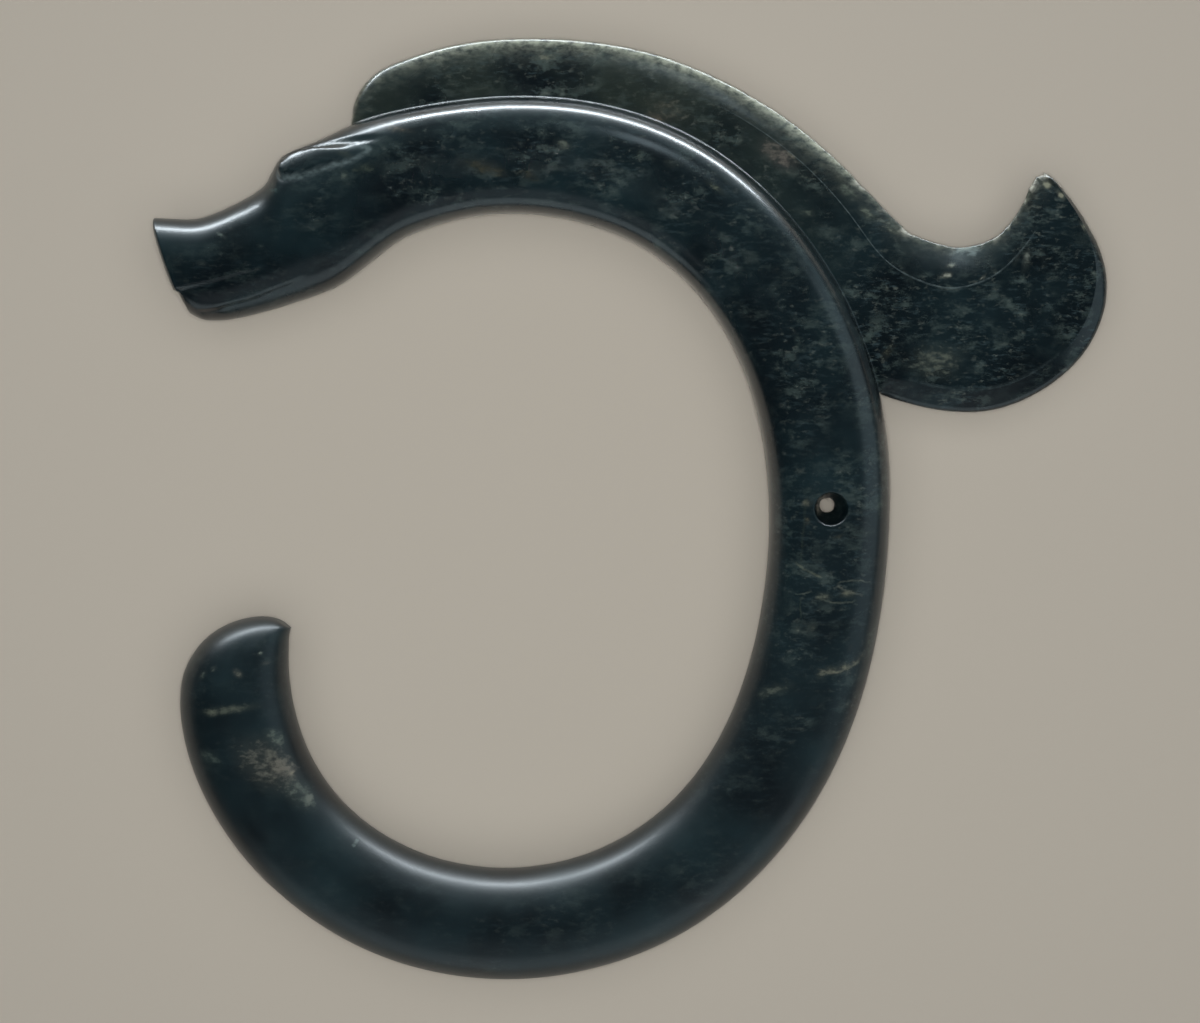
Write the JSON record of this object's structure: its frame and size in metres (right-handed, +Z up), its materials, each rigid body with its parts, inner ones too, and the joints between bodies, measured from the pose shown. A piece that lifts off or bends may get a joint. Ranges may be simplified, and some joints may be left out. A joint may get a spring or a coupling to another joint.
{
  "type": "jade dragon carving",
  "caption": "C-shaped dragon carved from one piece of dark green jade, with a long swept-back mane and a hanging hole through its back, lying flat on its side.",
  "frame": {"origin": "on the table, under the middle of the carving's bounding box", "axes": "+X from the snout towards the tip of the mane, +Y towards the mane's crest, +Z up from the table through the carving's thickness"},
  "size_m": [0.2608, 0.2598, 0.0248],
  "materials": {
    "jade": "polished"
  },
  "bodies": {
    "root": {"jade_dragon": "jade"}
  },
  "joints": []
}
